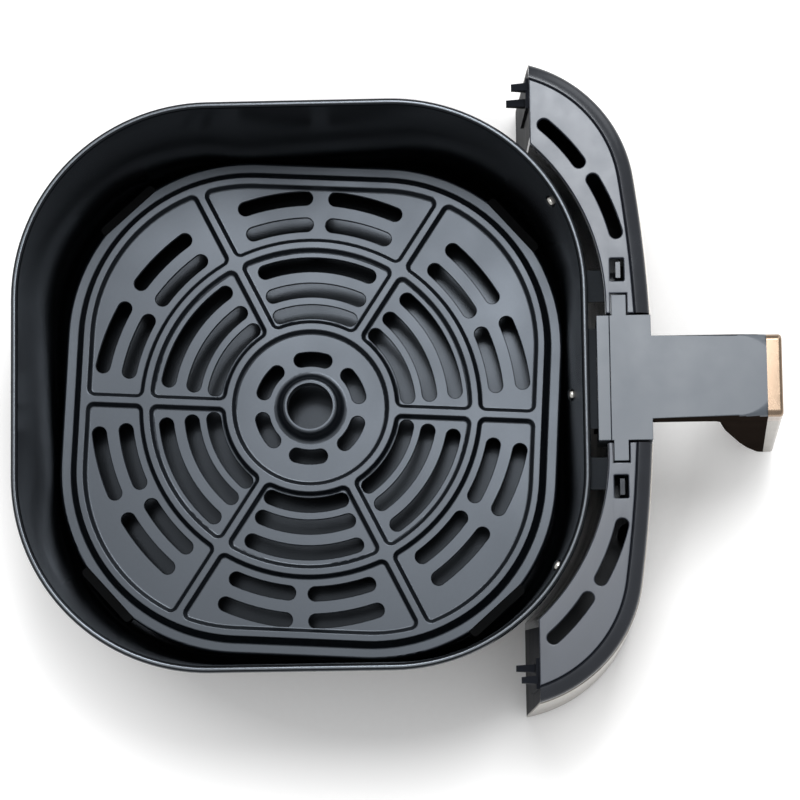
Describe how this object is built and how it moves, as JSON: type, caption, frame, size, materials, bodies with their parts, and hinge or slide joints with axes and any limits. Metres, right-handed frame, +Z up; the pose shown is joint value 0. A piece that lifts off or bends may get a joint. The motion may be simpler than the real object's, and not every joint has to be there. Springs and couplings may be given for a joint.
{
  "type": "air fryer drawer",
  "caption": "Pull-out drawer of an air fryer: rounded-square coated pan, lift-out slotted crisper plate, curved vented front panel and down-turned handle.",
  "frame": {"origin": "centre of the pan's flat underside, on the surface that the drawer stands on", "axes": "+Z up, -Y towards the front panel and handle, X across; the drawer is symmetric about X = 0 apart from the plate's small turn"},
  "size_m": [0.2858, 0.3406, 0.112],
  "materials": {
    "pan_coating": "satin",
    "plate_coating": "satin",
    "chrome": "polished",
    "steel": "brushed",
    "skin_steel": "brushed",
    "cover_plastic": "satin",
    "dark_plastic": "glossy",
    "grip_plastic": "satin",
    "handle_plastic": "satin",
    "rose_gold": "satin",
    "silicone": "matte"
  },
  "bodies": {
    "drawer": {"pan": "pan_coating", "pan_rivets": "chrome", "pan_bracket": "steel", "bracket_screws": "steel", "fascia_shell": "dark_plastic", "fascia_skin": "skin_steel", "fascia_cover_right": "cover_plastic", "fascia_cover_left": "cover_plastic", "fascia_back_cover": "dark_plastic", "fascia_base_cover": "dark_plastic", "fascia_screws": "steel", "locator_right": "dark_plastic", "locator_left": "dark_plastic", "handle_rear_plate": "handle_plastic", "handle_upper_shell": "handle_plastic", "handle_lower_shell": "grip_plastic", "handle_core": "steel", "handle_screws": "steel", "handle_cap": "rose_gold", "handle_face_plate": "skin_steel"},
    "plate": {"crisper_plate": "plate_coating", "plate_bumper_rear_right": "silicone", "plate_bumper_rear_left": "silicone", "plate_bumper_front_left": "silicone", "plate_bumper_front_right": "silicone"}
  },
  "joints": [
    {"name": "plate_lift", "type": "slide", "parent": "drawer", "child": "plate", "axis": [0, 0, 1], "range_m": [0, 0.13]}
  ]
}
